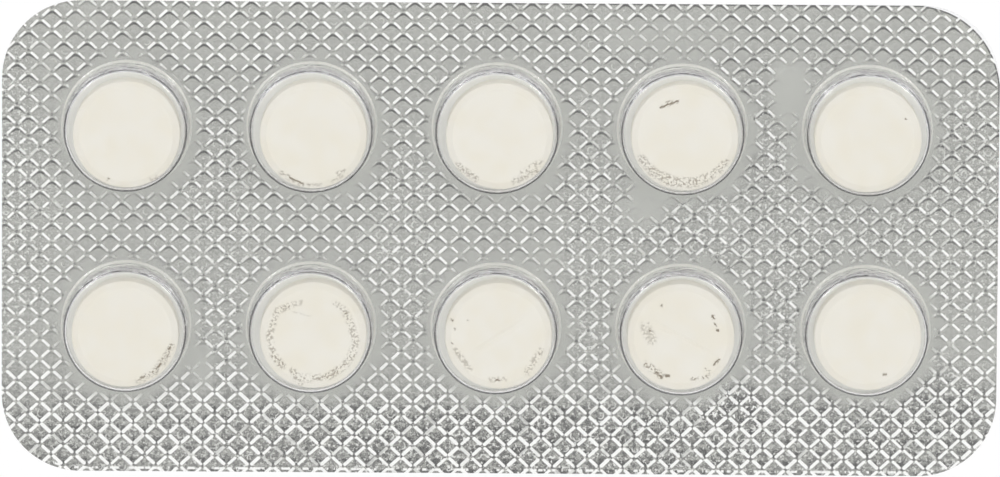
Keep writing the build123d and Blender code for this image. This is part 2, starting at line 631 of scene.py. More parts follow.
def marksGroup():
    # the marks that follow the knurl: painted highlight dashes, painted shade arches, specks at crossings,
    # pits, painted glints as curls and painted shade towards each cell's near corner
    tree = bpy.data.node_groups.new("knurl marks", "ShaderNodeTree")
    sockets = tree.interface
    for name in ("Falling Dash", "Rising Dash", "Arch", "Crossing", "Pit", "Curl", "Near Corner Shade"):
        sockets.new_socket(name, in_out="OUTPUT", socket_type="NodeSocketFloat")
    sockets.new_socket("Place", in_out="INPUT", socket_type="NodeSocketVector")
    for name in ("Cell Length", "Cell Width", "Spacing", "Shift X", "Shift Y", "Wobble",
                 "Dash Width", "Dash Gap"):
        sockets.new_socket(name, in_out="INPUT", socket_type="NodeSocketFloat")
    given = addNode(tree, "NodeGroupInput").outputs
    x, y, height = splitVector(tree, given["Place"])
    a, b = latticeShares(tree, given, x, y, 1.0)
    seeds = knurlMark["seeds"]

    def ridgeMarks(across, along, seed):
        # the painted highlight dash between two crossings, and how far aside of its ridge a point lies
        line = calc(tree, "ROUND", across)
        aside = times(tree, minus(tree, across, line), given["Spacing"])
        fromCrossing = times(tree, calc(tree, "PINGPONG", along, 0.5), given["Spacing"])
        first, second, third = randomAt(tree, line, calc(tree, "FLOOR", along), seed)
        gap = plus(tree, given["Dash Gap"], times(tree, second, knurlMark["gapChange"]))
        beyond = greatest(tree, minus(tree, gap, fromCrossing), 0.0)
        change = ramp(tree, first, 0.0, 1.0, *knurlMark["widthChange"], "LINEAR")
        away = length2(tree, minus(tree, aside, knurlMark["dashShift"]), beyond)
        inward = minus(tree, times(tree, given["Dash Width"], change), away)
        dash = ramp(tree, inward, -knurlMark["dashSoft"], knurlMark["dashSoft"])
        return times(tree, dash, ramp(tree, third, *knurlMark["faintDashes"])), aside

    fallingDash, asideFalling = ridgeMarks(a, b, seeds["falling"])
    risingDash, asideRising = ridgeMarks(b, a, seeds["rising"])
    first, second, third = randomAt(tree, calc(tree, "ROUND", a), calc(tree, "ROUND", b), seeds["crossing"])
    crossing = fade(tree, length2(tree, asideFalling, asideRising), *knurlMark["crossingSize"])
    crossing = times(tree, crossing, ramp(tree, first, *knurlMark["faintCrossings"]))

    # Where a point lies in its cell, from the middle towards the two far sides
    cellA, cellB = calc(tree, "FLOOR", a), calc(tree, "FLOOR", b)
    alongA = minus(tree, calc(tree, "FRACT", a), 0.5)
    alongB = minus(tree, calc(tree, "FRACT", b), 0.5)
    farther = plus(tree, alongA, alongB)
    first, second, third = randomAt(tree, cellA, cellB, seeds["arch"])
    bent = calc(tree, "SMOOTH_MAX", alongA, alongB, knurlMark["archRound"])
    fromArch = calc(tree, "ABSOLUTE", minus(tree, bent, knurlMark["archPlace"]))
    arch = times(tree, fade(tree, fromArch, *knurlMark["archWidth"]),
                 ramp(tree, farther, *knurlMark["archShade"]), ramp(tree, first, *knurlMark["faintArches"]))

    first, second, third = randomAt(tree, cellA, cellB, seeds["pit"])
    wanderX, wanderY = knurlMark["pitWander"]
    pitX = times(tree, minus(tree, alongA, alongB), given["Cell Length"], 0.5)
    pitX = minus(tree, pitX, times(tree, minus(tree, first, 0.5), wanderX))
    pitY = plus(tree, times(tree, farther, given["Cell Width"], 0.5), times(tree, second, wanderY))
    fromPit = length2(tree, pitX, times(tree, pitY, knurlMark["pitSquash"]))
    pit = fade(tree, fromPit, *knurlMark["pitRadius"])
    pit = times(tree, pit, ramp(tree, third, *knurlMark["faintPits"]))
    fromRing = calc(tree, "ABSOLUTE", minus(tree, length2(tree, pitX, pitY), knurlMark["curlRadius"]))
    turned = calc(tree, "DIVIDE", calc(tree, "ARCTAN2", pitY, pitX), 2 * math.pi)
    turned = plus(tree, turned, times(tree, second, knurlMark["curlTurn"]))
    part = fade(tree, calc(tree, "PINGPONG", turned, 0.5), *knurlMark["curlPart"])
    curl = times(tree, fade(tree, fromRing, *knurlMark["curlWidth"]), part)
    curl = times(tree, curl, ramp(tree, first, *knurlMark["curlShare"]))

    feedAll(tree, addNode(tree, "NodeGroupOutput"), {
        "Falling Dash": fallingDash,
        "Rising Dash": risingDash,
        "Arch": arch,
        "Crossing": crossing,
        "Pit": pit,
        "Curl": curl,
        "Near Corner Shade": ramp(tree, farther, *knurlMark["nearCornerShade"]),
    })
    return tree


def placeMarks(tree, group, place):
    made = addNode(tree, "ShaderNodeGroup", node_tree=group)
    x, y, height = splitVector(tree, place)
    feedAll(tree, made, knurlPlace() | {
        "Place": place,
        "Spacing": knurl["spacing"],
        "Dash Width": ramp(tree, y, *knurlMark["nearSide"], *knurlMark["dashWidth"]),
        "Dash Gap": ramp(tree, y, *knurlMark["nearSide"], *knurlMark["dashGap"]),
    })
    return made.outputs


# Foil

foilLook = {
    "colour": (0.81, 0.82, 0.76, 1),
    "cloudColour": (0.775, 0.785, 0.725, 1),
    "cloudScale": 0.35,
    "paintedHighlight": (0.97, 0.97, 0.94, 1),      # painted highlight along the ridges, standing in for their shine
    "paintedHighlightMetal": 0.92,                  # how much of the metal's shine it hides
    "paintedHighlightRoughness": 0.3,               # and how much rougher it is
    "dark": (0.10, 0.10, 0.095, 1),
    "lowFrom": (-9.0, -14.0),            # along Y, where the near side begins, with fuller dashes, pits and deeper painted shade
    "highlightShareScale": 0.8,
    "highlightShareRange": (0.30, 0.42, 0.6, 1.0),
    "gritScale": 3.2,
    "scuffRange": (0.57, 0.63),
    "creaseRange": (0.42, 0.35),
    "handledRange": (0.3, 0.9, 0.2, 0.6),
    "curlShare": 0.6,
    "pressedTone": 0.06,                 # how much darker the pressed cell floors are
    "mottle": 0.08,
    "mottleScale": 4.0,
    "mottleRange": (0.35, 0.7),
    "blotchScale": 2.6,
    "blotchRange": (0.43, 0.58),
    "nearShade": 0.07,                    # painted shade: the floors darken further along the near side
    "nearShadeMottle": 0.50,
    "nearCornerShade": 0.42,
    "nearShadeShare": (0.3, 0.95),               # share of that painted shade anywhere, and more on the near side
    "pitShare": (0.3, 0.55),             # strength of a pit, and more where the foil is blotched
    "crossingShare": (0.3, 0.65),        # of a speck, and more where the land is pitted
    "archFade": (-14.0, 9.0, 0.4, 1.0),  # along Y, from fainter to full painted shade arches
    "floorLightShare": 0.5,                    # of painted light on the floor round a tablet
    "roughness": 0.20,
    "roughnessChange": 0.06,
    "grainScale": 9.0,
    "grainHeight": 0.002,
}

# The far cut edge shows as a dark line, and bright flecks lie just inside the near one
cutEdge = {
    "lineWidth": (0.065, 0.169),
    "farFromX": (-10.0, -1.0),
    "farFromY": (10.0, 13.0),
    "nearLine": (-19.0, -19.6, 0.0, 0.55),
    "fleckStart": (0.14, 0.22),
    "fleckEnd": (0.32, 0.42),
    "fleckFromY": (-19.0, -19.4),
    "fleckScale": 2.6,
    "fleckStretch": 0.3,
    "fleckRange": (0.50, 0.58),
}


foilSheet = {
    "thickness": foilHigh.z - foilLow.z,
    "floorRings": (5.6, 5.45, 5.3, 4.6, 3.0, 1.4),
    "cornerInset": 0.27,       # how far the foil stays back from the film at its far right corner
    "cornerSpread": 0.7,       # the lower, the more of the corner's round it takes in
    "insetReach": 1.3,
}


def cutEdgeMarks(tree, place):
    x, y, height = splitVector(tree, place)
    radius = card["cornerRadius"]
    overX = minus(tree, calc(tree, "ABSOLUTE", x), card["length"] / 2 - radius)
    overY = minus(tree, calc(tree, "ABSOLUTE", y), card["width"] / 2 - radius)
    outX, outY = greatest(tree, overX, 0.0), greatest(tree, overY, 0.0)
    corner = length2(tree, outX, outY)
    beyond = plus(tree, corner, calc(tree, "MINIMUM", greatest(tree, overX, overY), 0.0))
    square = greatest(tree, times(tree, corner, corner), 0.01)
    onCorner = calc(tree, "DIVIDE", times(tree, 2.0, outX, outY), square)
    onCorner = calc(tree, "POWER", onCorner, foilSheet["cornerSpread"])
    farRight = times(tree, ramp(tree, x, 0.0, 1.0), ramp(tree, y, 0.0, 1.0))
    inset = times(tree, onCorner, farRight, foilSheet["cornerInset"])
    inside = minus(tree, minus(tree, radius, beyond), inset)

    far = times(tree, ramp(tree, x, *cutEdge["farFromX"]), ramp(tree, y, *cutEdge["farFromY"]))
    near = ramp(tree, y, *cutEdge["nearLine"])
    line = times(tree, fade(tree, inside, *cutEdge["lineWidth"]), greatest(tree, far, near))
    stretched = joinVector(tree, x, times(tree, y, cutEdge["fleckStretch"]))
    broken = ramp(tree, noiseAt(tree, stretched, cutEdge["fleckScale"]), *cutEdge["fleckRange"])
    flecks = times(tree, ramp(tree, inside, *cutEdge["fleckStart"]), fade(tree, inside, *cutEdge["fleckEnd"]))
    return line, times(tree, flecks, broken, ramp(tree, y, *cutEdge["fleckFromY"]))


def foilMaterial(group):
    material, tree = newMaterial("aluminium foil")
    place = objectMillimetres(tree)
    marks = placeMarks(tree, group, place)
    press, pitsAndPaintedLight, crumple = (attributeValue(tree, name) for name in ("press", "pitsAndPaintedLight", "crumple"))
    cutLine, flecks = cutEdgeMarks(tree, place)
    x, y, height = splitVector(tree, place)
    low = ramp(tree, y, *foilLook["lowFrom"])
    blotch = ramp(tree, noiseAt(tree, place, foilLook["blotchScale"], 2.0, 0.7), *foilLook["blotchRange"])
    grit = noiseAt(tree, place, foilLook["gritScale"], 2.0, 0.7)
    handled = greatest(tree, crumple, times(tree, pitsAndPaintedLight, ramp(tree, pitsAndPaintedLight, *foilLook["handledRange"])))

    # Bright: painted highlights along the ridges, painted glints as curls, scuffs and flecks
    highlightShare = ramp(tree, noiseAt(tree, place, foilLook["highlightShareScale"], 1.0), *foilLook["highlightShareRange"])
    highlightShare = greatest(tree, highlightShare, low)
    light = greatest(
        tree,
        times(tree, press, marks["Falling Dash"], highlightShare),
        times(tree, attributeValue(tree, "rising"), marks["Rising Dash"], highlightShare),
        # the curls are painted glints
        times(tree, pitsAndPaintedLight, marks["Curl"], foilLook["curlShare"]),
        times(tree, handled, ramp(tree, grit, *foilLook["scuffRange"])),
        flecks,
    )

    # Dark: painted shade arches, specks, pits, creases and the cut edge, over a tone of the pressed floors
    # that holds painted shade on the near side
    pitShare, pitMore = foilLook["pitShare"]
    crossingShare, crossingMore = foilLook["crossingShare"]
    dark = greatest(
        tree,
        # painted shade under each cell's two far sides
        times(tree, press, marks["Arch"], ramp(tree, y, *foilLook["archFade"])),
        times(tree, press, marks["Crossing"], plus(tree, crossingShare, times(tree, pitsAndPaintedLight, crossingMore))),
        times(tree, pitsAndPaintedLight, marks["Pit"], low, plus(tree, pitShare, times(tree, blotch, pitMore))),
        times(tree, handled, ramp(tree, grit, *foilLook["creaseRange"])),
        cutLine,
    )
    nearShadeShare, nearShadeShareMore = foilLook["nearShadeShare"]
    # painted shade of the pressed floors, deeper on the near side and towards each cell's near corner
    nearShade = plus(tree, foilLook["nearShade"], times(tree, blotch, foilLook["nearShadeMottle"]),
                    times(tree, marks["Near Corner Shade"], foilLook["nearCornerShade"]))
    nearShade = times(tree, nearShade, pitsAndPaintedLight, plus(tree, nearShadeShare, times(tree, low, nearShadeShareMore)))
    mottle = noiseAt(tree, place, foilLook["mottleScale"], 1.0)
    mottle = ramp(tree, mottle, *foilLook["mottleRange"], 0.0, foilLook["mottle"])
    tone = times(tree, press, plus(tree, foilLook["pressedTone"], mottle, nearShade))
    dark = times(tree, greatest(tree, dark, tone), minus(tree, 1.0, light))

    cloud = noiseAt(tree, place, foilLook["cloudScale"], 1.0)
    colour = mixColour(tree, cloud, foilLook["colour"], foilLook["cloudColour"])
    colour = mixColour(tree, dark, colour, foilLook["dark"])
    # painted light brightens the foil floor inside each pocket
    light = greatest(tree, light, times(tree, attributeValue(tree, "floorLight"), foilLook["floorLightShare"]))
    grain = noiseAt(tree, place, foilLook["grainScale"], 1.0)
    rough = plus(tree, foilLook["roughness"], times(tree, grain, foilLook["roughnessChange"]))
    showSurface(tree, nodeOutput(tree, "ShaderNodeBsdfPrincipled", {
        # Painted highlight and painted light lighten the colour and take away the metal's shine
        "Base Color": mixColour(tree, light, colour, foilLook["paintedHighlight"]),
        "Metallic": minus(tree, 1.0, times(tree, light, foilLook["paintedHighlightMetal"])),
        "Roughness": plus(tree, rough, times(tree, light, foilLook["paintedHighlightRoughness"])),
        "Normal": bumpNormal(tree, grain, foilLook["grainHeight"]),
    }))
    return material


def insetCorner(work):
    # draws the far right corner of the foil in under the film, which stands clear of it there
    radius = card["cornerRadius"]
    centre = Vector((card["length"] / 2 - radius, card["width"] / 2 - radius))
    for point in work.verts:
        out = Vector((point.co.x, point.co.y)) - centre
        if out.x <= 0 or out.y <= 0:
            continue
        near = smooth(out.length, radius - foilSheet["insetReach"], radius)
        middle = math.sin(2 * math.atan2(out.y, out.x)) ** foilSheet["cornerSpread"]
        shift = out.normalized() * foilSheet["cornerInset"] * near * middle
        point.co.x -= shift.x
        point.co.y -= shift.y


def makeFoil():
    work = bmesh.new()
    top = foilSheet["thickness"]
    addLand(work, top)
    addLand(work, 0, flipped=True)
    addCutEdge(work, 0, top)
    radii = (pockets["holeRadius"],) + foilSheet["floorRings"] + (0,)
    for place in places:
        addLathe(work, [(radius, top) for radius in radii], place, pockets["sides"])
        addLathe(work, [(radius, 0) for radius in radii], place, pockets["sides"], flipped=True)
    insetCorner(work)
    piece = finishMesh(work, "embossed_foil")
    markLand(piece)
    return piece


# Film

film = {
    "under": foilHigh.z + 0.004,     # the heat-seal lacquer's gap
    "land": 0.20,                    # top of the pressed land's cell floors
    "top": filmHigh.z,
    "rimRadius": 5.20,
    "footRadius": 5.39,
    "wall": 0.20,
    "footBend": 0.14,
    "shoulderBend": 0.40,
    "dish": 0.03,                    # the pocket's top sinks this much in the middle
    "ripple": 0.07,
    "rippleFoot": (0.3, 1.2),        # height above the land over which the ripple starts
    "rippleTop": (0.7, 0.25),        # and below the pocket's top over which it ends
}


def arc(centreR, centreZ, radius, start, end, steps):
    points = []
    for step in range(steps + 1):
        angle = math.radians(start + (end - start) * step / steps)
        points.append((centreR + radius * math.cos(angle), centreZ + radius * math.sin(angle)))
    return points


def pocketProfile(inset):
    # from the smooth ring up the wall and over the shoulder to the middle; inset 0 is the outside
    top = film["top"] - inset
    rim = film["rimRadius"] - inset
    shoulder = film["shoulderBend"] - inset
    bendMiddle = (film["footRadius"] + film["footBend"], film["land"] + film["footBend"])
    footBend = film["footBend"]
    if inset:
        footBend += film["land"] - film["under"]
    profile = [(pockets["holeRadius"], bendMiddle[1] - footBend)]
    profile += arc(bendMiddle[0], bendMiddle[1], footBend, 270, 184, 4)
    startR, startZ = profile[-1]
    endR, endZ = rim, top - shoulder
    for step in range(1, pockets["wallSteps"]):
        share = step / pockets["wallSteps"]
        profile.append((startR + (endR - startR) * share, startZ + (endZ - startZ) * share))
    profile += arc(rim - shoulder, top - shoulder, shoulder, 4, 90, 6)
    for radius in pockets["topRings"]:
        profile.append((radius, top - film["dish"] * (1 - (radius / (rim - shoulder)) ** 2)))
    profile.append((0, top - film["dish"]))
    return profile


def wallRipple(x, y, height, centre):
    # the drawn film is a little uneven round the wall, and true at the foot and on the flat top
    footStart, footEnd = (film["land"] + rise for rise in film["rippleFoot"])
    topStart, topEnd = (film["top"] - drop for drop in film["rippleTop"])
    share = smooth(height, footStart, footEnd) * (1 - smooth(height, topStart, topEnd))
    spot = Vector((x * 0.8 + centre[0], y * 0.8 + centre[1], height * 0.5))
    waves = noise.noise(spot) + 0.5 * noise.noise(spot * 2.6) + 0.25 * noise.noise(spot * 5.2)
    return film["ripple"] * share * waves


filmLook = {
    "colour": (0.98, 0.98, 0.985, 1),
    "wallShadeColour": (0.70, 0.69, 0.76, 1),    # painted shade on the far walls under the shoulder
    "wallShadeFrom": (0.8, 3.2),             # height over which that tint grows
    "wallShadeTo": (3.95, 3.75),             # and over which it ends below the top
    "farSide": (-2.0, 3.5),              # across a row, from the near walls to the far ones
    "nearShare": 0.3,                    # of painted shade and waves on the near side
    "clearness": 0.97,                   # the rest is the film's own faint milkiness
    "roughness": 0.07,
    "pressedRoughness": 0.02,
    "refraction": 1.52,
    "bumpHeight": 0.012,
    "waveScale": 1.8,
    "landWaves": 0.6,                    # share of the bump's height on the flat land
    "wallWaves": 4.0,                    # and how much more there is on the drawn wall
    "wallFrom": (0.4, 0.9),
    "wallTo": (3.5, 3.0),
}


def filmMaterial():
    material, tree = newMaterial("clear film")
    place = objectMillimetres(tree)
    x, y, height = splitVector(tree, place)
    rowHalf = pockets["rowPitch"] / 2
    fromRow = calc(tree, "WRAP", minus(tree, y, pockets["shiftY"] + rowHalf), rowHalf, -rowHalf)
    farSide = ramp(tree, fromRow, *filmLook["farSide"], filmLook["nearShare"], 1.0)

    def between(start, end):
        # 1 between two heights on the wall, weaker on its near side
        return times(tree, farSide, ramp(tree, height, *filmLook[start]), ramp(tree, height, *filmLook[end]))

    # painted shade tints the far walls below the shoulder
    wallShade = between("wallShadeFrom", "wallShadeTo")
    pressedRoughness = times(tree, attributeValue(tree, "press"), filmLook["pressedRoughness"])
    waves = times(tree, between("wallFrom", "wallTo"), filmLook["wallWaves"])
    waves = plus(tree, filmLook["landWaves"], waves)
    waves = times(tree, waves, noiseAt(tree, place, filmLook["waveScale"], 1.0))
    surface = nodeOutput(tree, "ShaderNodeBsdfPrincipled", {
        "Transmission Weight": filmLook["clearness"],
        "IOR": filmLook["refraction"],
        "Base Color": mixColour(tree, wallShade, filmLook["colour"], filmLook["wallShadeColour"]),
        "Roughness": plus(tree, filmLook["roughness"], pressedRoughness),
        "Normal": bumpNormal(tree, waves, filmLook["bumpHeight"]),
    })

    # Diffuse and shadow rays go straight through, so that soft light reaches foil and tablets
    clear = nodeOutput(tree, "ShaderNodeBsdfTransparent", {"Color": filmLook["colour"]})
    light = addNode(tree, "ShaderNodeLightPath")
    for rays in ("Is Diffuse Ray", "Is Shadow Ray"):
        surface = mixShader(tree, light.outputs[rays], surface, clear)
    showSurface(tree, surface)
    return material


def makeFilm():
    work = bmesh.new()
    addLand(work, film["land"])
    addLand(work, film["under"], flipped=True)
    addCutEdge(work, film["under"], film["land"])
    outside, inside = pocketProfile(0), pocketProfile(film["wall"])
    for place in places:
        addLathe(work, outside, place, pockets["sides"], ripple=wallRipple)
        addLathe(work, inside, place, pockets["sides"], flipped=True, ripple=wallRipple)
    piece = finishMesh(work, "formed_film", sharpAngle=60)
    markLand(piece)
    return piece


# Tablets

tabletShape = {
    "radius": 4.5,
    "thickness": 3.3,
    "bevelWidth": 0.55,
    "bevelHeight": 0.30,
    "edgeRound": 0.06,
    "scoreWidth": 0.60,
    "scoreDepth": 0.075,
    "scoreFade": (1.4, 3.4),   # the groove is plain in the middle and lost towards its ends
    "sides": 224,
    "ringStep": 0.105,
}

# Turn of each tablet's score in degrees, and whether its scored face is up
tabletScores = {
    "tablet_01": (20, False),
    "tablet_02": (75, False),
    "tablet_03": (130, False),
    "tablet_04": (165, False),
    "tablet_05": (50, False),
    "tablet_06": (110, False),
    "tablet_07": (5, False),
    "tablet_08": (33, True),
    "tablet_09": (-29, True),
    "tablet_10": (95, False),
}

# Specks and rubbed lines on the upper faces, in millimetres from each tablet's middle:
# start, end, half width, strength; marks of strength 1 are solid, and the weaker ones rows of grains
tabletSpecks = {
    "tablet_01": [(-1.56, -3.67, -1.45, -3.75, 0.09, 1.0), (2.05, -3.75, 2.6, -3.55, 0.14, 0.9)],
    "tablet_02": [(-2.65, -3.2, -1.9, -3.65, 0.2, 0.95), (-1.9, -3.65, -0.9, -4.15, 0.17, 1.0),
                  (-0.95, -4.15, 1.2, -4.1, 0.06, 0.8), (1.2, -4.1, 2.7, -3.2, 0.07, 0.8),
                  (1.9, -3.3, 2.6, -2.95, 0.16, 0.7)],
    "tablet_03": [(-3.5, -2.5, -2.0, -3.6, 0.26, 0.75), (1.3, -3.75, 3.1, -2.9, 0.24, 0.7),
                  (1.9, -3.1, 3.4, -2.1, 0.2, 0.6)],
    "tablet_04": [(-2.07, 2.58, -0.6, 3.12, 0.115, 1.0), (-1.55, 3.02, -1.1, 3.2, 0.09, 0.88),
                  (-3.55, -1.85, -2.6, -2.95, 0.34, 0.75), (-2.6, -2.95, -0.9, -3.75, 0.38, 0.8),
                  (-0.9, -3.75, 0.9, -3.75, 0.36, 0.8), (0.9, -3.75, 2.45, -3.05, 0.32, 0.75),
                  (2.45, -3.05, 3.45, -2.05, 0.28, 0.75)],
    "tablet_05": [(3.1, 1.8, 3.18, 1.78, 0.08, 1.0)],
    "tablet_06": [(1.2, -3.95, 2.5, -3.2, 0.26, 0.95), (2.5, -3.2, 3.7, -1.6, 0.28, 0.9),
                  (3.4, -1.8, 3.9, -0.95, 0.18, 0.9), (1.27, -4.02, 1.35, -3.98, 0.11, 1.0),
                  (3.72, -1.22, 3.84, -1.08, 0.11, 1.0), (2.75, -2.75, 3.05, -2.45, 0.1, 1.0)],
    "tablet_07": [(-1.05, 2.8, -1.9, 2.55, 0.2, 0.5), (-1.9, 2.55, -3.0, 2.1, 0.24, 0.7),
                  (-3.0, 2.1, -3.7, 0.0, 0.24, 0.65), (-3.7, 0.0, -3.3, -1.7, 0.24, 0.75),
                  (-3.3, -1.7, -2.6, -2.6, 0.27, 0.88), (-1.7, -3.0, -1.05, -4.05, 0.24, 0.75),
                  (-1.3, -3.6, -0.2, -3.65, 0.3, 0.75), (-0.2, -3.65, 1.35, -3.45, 0.24, 0.8),
                  (1.35, -3.45, 2.75, -2.5, 0.28, 0.8), (2.75, -2.5, 3.3, -1.55, 0.28, 0.8),
                  (3.3, -1.55, 3.6, -0.3, 0.3, 0.65), (3.6, -0.3, 3.0, 1.4, 0.28, 0.65),
                  (3.0, 1.4, 2.6, 2.2, 0.26, 0.7), (2.6, 2.2, 1.8, 2.8, 0.2, 0.6),
                  (-1.7, 1.98, -0.05, 1.6, 0.05, 0.6), (2.7, 1.9, 2.76, 1.84, 0.08, 1.0)],
    "tablet_08": [(-3.9, -0.6, -3.86, -0.64, 0.08, 1.0), (-3.9, 1.34, -3.86, 1.3, 0.08, 1.0),
                  (-3.72, 0.62, -3.68, 0.58, 0.07, 1.0), (-2.64, 1.34, -2.58, 1.3, 0.07, 1.0),
                  (-3.6, -1.2, -2.4, -2.8, 0.2, 0.6), (-0.14, -3.72, 0.02, -3.76, 0.12, 1.0),
                  (-0.6, -3.7, 0.6, -3.6, 0.2, 0.55), (2.4, -3.0, 3.6, -1.2, 0.24, 0.6),
                  (3.42, -1.52, 3.5, -1.58, 0.08, 1.0), (2.34, -3.02, 2.42, -3.08, 0.08, 1.0)],
    "tablet_09": [(2.64, 1.82, 2.74, 1.66, 0.14, 1.0), (2.8, 1.2, 2.95, 1.0, 0.07, 1.0),
                  (3.06, 0.66, 3.16, 0.6, 0.13, 1.0), (2.8, -2.3, 3.2, -1.85, 0.11, 1.0),
                  (2.1, -2.75, 2.4, -2.9, 0.13, 0.95), (0.95, -3.52, 1.45, -3.48, 0.12, 0.95),
                  (1.6, -3.5, 2.3, -3.25, 0.14, 0.85), (-1.75, -3.28, -1.62, -3.4, 0.15, 1.0),
                  (-1.25, -3.28, -1.02, -3.3, 0.13, 1.0), (-2.1, -2.95, -1.95, -3.05, 0.11, 1.0),
                  (-2.9, -2.3, -1.72, -3.2, 0.26, 0.85), (-3.0, 0.9, -2.5, -0.2, 0.4, 0.5),
                  (-1.7, 2.74, -1.62, 2.68, 0.09, 1.0), (-2.62, 0.56, -2.54, 0.5, 0.08, 1.0)],
    "tablet_10": [(1.38, -3.14, 1.6, -3.1, 0.09, 1.0)],
}

tabletLook = {
    "colour": (0.80, 0.772, 0.68, 1),
    "shade": (0.785, 0.745, 0.625, 1),
    "speck": (0.19, 0.145, 0.085, 1),
    "rubMost": 0.88,            # strength that no rub goes beyond
    "speckLeast": 0.97,         # and from which a speck is solid
    "speckSoft": (0.7, 1.6),    # shares of a mark's half width over which it fades
    "cloudScale": 0.5,
    "cloudRange": (0.3, 0.75),
    "rubScale": 5.5,            # of the grains that a rub breaks up into
    "rubRange": (0.49, 0.55),
    "roughness": 0.8,
    "grainScale": 14.0,
    "grainHeight": 0.008,
}


def tabletMaterial():
    material, tree = newMaterial("pressed powder")
    place = objectMillimetres(tree)
    cloud = ramp(tree, noiseAt(tree, place, tabletLook["cloudScale"]), *tabletLook["cloudRange"])
    colour = mixColour(tree, cloud, tabletLook["colour"], tabletLook["shade"])
    painted = attributeValue(tree, "speck")
    grains = ramp(tree, noiseAt(tree, place, tabletLook["rubScale"], 2.0, 0.7), *tabletLook["rubRange"])
    solid = ramp(tree, painted, tabletLook["rubMost"], tabletLook["speckLeast"])
    speck = greatest(tree, times(tree, painted, grains), solid)
    grain = noiseAt(tree, place, tabletLook["grainScale"], 1.0)
    showSurface(tree, nodeOutput(tree, "ShaderNodeBsdfPrincipled", {
        "Base Color": mixColour(tree, speck, colour, tabletLook["speck"]),
        "Roughness": tabletLook["roughness"],
        "Normal": bumpNormal(tree, grain, tabletLook["grainHeight"]),
    }))
    return material


def fromLine(x, y, x1, y1, x2, y2):
    runX, runY = x2 - x1, y2 - y1
    share = ((x - x1) * runX + (y - y1) * runY) / (runX * runX + runY * runY)
    share = min(max(share, 0), 1)
    return math.hypot(x - x1 - share * runX, y - y1 - share * runY)


def tabletProfile():
    # from the middle of the side over the rounded bevel to the middle of the face
    radius = tabletShape["radius"]
    inner = radius - tabletShape["bevelWidth"]
    top = tabletShape["thickness"]
    bevelFoot = top - tabletShape["bevelHeight"]
    bend = tabletShape["edgeRound"]
    profile = [
        (radius, top / 2),
        (radius, bevelFoot - bend),
        (radius - bend * 0.6, bevelFoot + bend * 0.5),
        (radius - bend * 1.6, bevelFoot + bend * 0.9),
        (inner + bend * 2.6, top - bend * 1.42),
        (inner + bend * 1.6, top - bend * 0.87),
        (inner + bend * 0.4, top - bend * 0.12),
    ]
    ring = inner - bend * 1.2
    while ring > tabletShape["ringStep"]:
        profile.append((ring, top))
        ring -= tabletShape["ringStep"]
    return profile + [(0, top)]


def pressScore(work, centre, node):
    # sinks the groove into the one scored face, before the tablet is lifted to its place
    turn, scoredUp = tabletScores[node]
    turn = math.radians(turn)
    inner = tabletShape["radius"] - tabletShape["bevelWidth"]
    for point in work.verts:
        x, y = point.co.x - centre[0], point.co.y - centre[1]
        scoredSide = (point.co.z > tabletShape["thickness"] / 2) == scoredUp
        fromScore = abs(y * math.cos(turn) - x * math.sin(turn))
        groove = tabletShape["scoreDepth"] * (1 - smooth(fromScore, 0, tabletShape["scoreWidth"] / 2))
        groove *= 1 - smooth(math.hypot(x, y), *tabletShape["scoreFade"])
        if scoredSide and math.hypot(x, y) < inner:
            point.co.z += -groove if scoredUp else groove


def speckStrength(x, y, node):
    strength = 0
    softStart, softEnd = tabletLook["speckSoft"]
    for x1, y1, x2, y2, width, share in tabletSpecks[node]:
        away = fromLine(x, y, x1, y1, x2, y2)
        share = 1 if share == 1 else share * tabletLook["rubMost"]
        strength = max(strength, share * (1 - smooth(away, width * softStart, width * softEnd)))
    return strength


def makeTablet(node, material):
    low, high = (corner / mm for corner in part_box(node))
    centre = ((low.x + high.x) / 2, (low.y + high.y) / 2)
    top = tabletShape["thickness"]
    profile = tabletProfile()
    work = bmesh.new()
    addLathe(work, profile, centre, tabletShape["sides"])
    addLathe(work, [(r, top - z) for r, z in profile], centre, tabletShape["sides"], flipped=True)
    pressScore(work, centre, node)
    for point in work.verts:
        point.co.z += low.z
    piece = finishMesh(work, node.replace("tablet", "pressed_tablet"))
    specks = piece.data.attributes.new("speck", "FLOAT", "POINT")
    for point in piece.data.vertices:
        if point.co.z / mm >= low.z + top / 2:
            x, y = point.co.x / mm - centre[0], point.co.y / mm - centre[1]
            specks.data[point.index].value = speckStrength(x, y, node)
    piece.data.materials.append(material)
    return piece


# Stage, lamps and camera

stageSetup = {
    "floorHalf": 3.0,
    "floorDrop": 0.00002,      # below the card, in metres
    "floorRoughness": 0.9,
    "floorColour": (0.92, 0.92, 0.92, 1),
    "ownWhite": 0.85,          # share of plain white that the floor shows by itself
    "zenith": 0.69,
    "tent": 1.15,              # the bright walls of the light tent, all round
    "nearTent": 0.3,           # how much brighter the near wall is
    "horizon": 0.9,
    "wallsFrom": (0.22, 0.5),  # each pair as a share of the way up, or towards the far side
    "zenithFrom": (0.82, 0.96),
    "nearFrom": (-0.15, -0.6),
}

# Two softboxes beyond the card's far side, each with a small bright lamp in front of it
lampSetup = {
    "azimuths": (-48, 48),       # degrees from the card's far side
    "elevation": 50,
    "distance": 0.9,
    "lampAhead": 0.05,           # of the small lamp, before its softbox
    "sizes": (0.7, 0.12),
    "radiances": (0.45, 13.0),
}

cameraSetup = {
    "tilt": 7.6,                 # from straight down, towards the card's far side
    "roll": 0.37,
    "distance": 1.1,
    "sensor": 36.0,
    "frameWidth": 84.34,         # of the view at the card, in millimetres
}


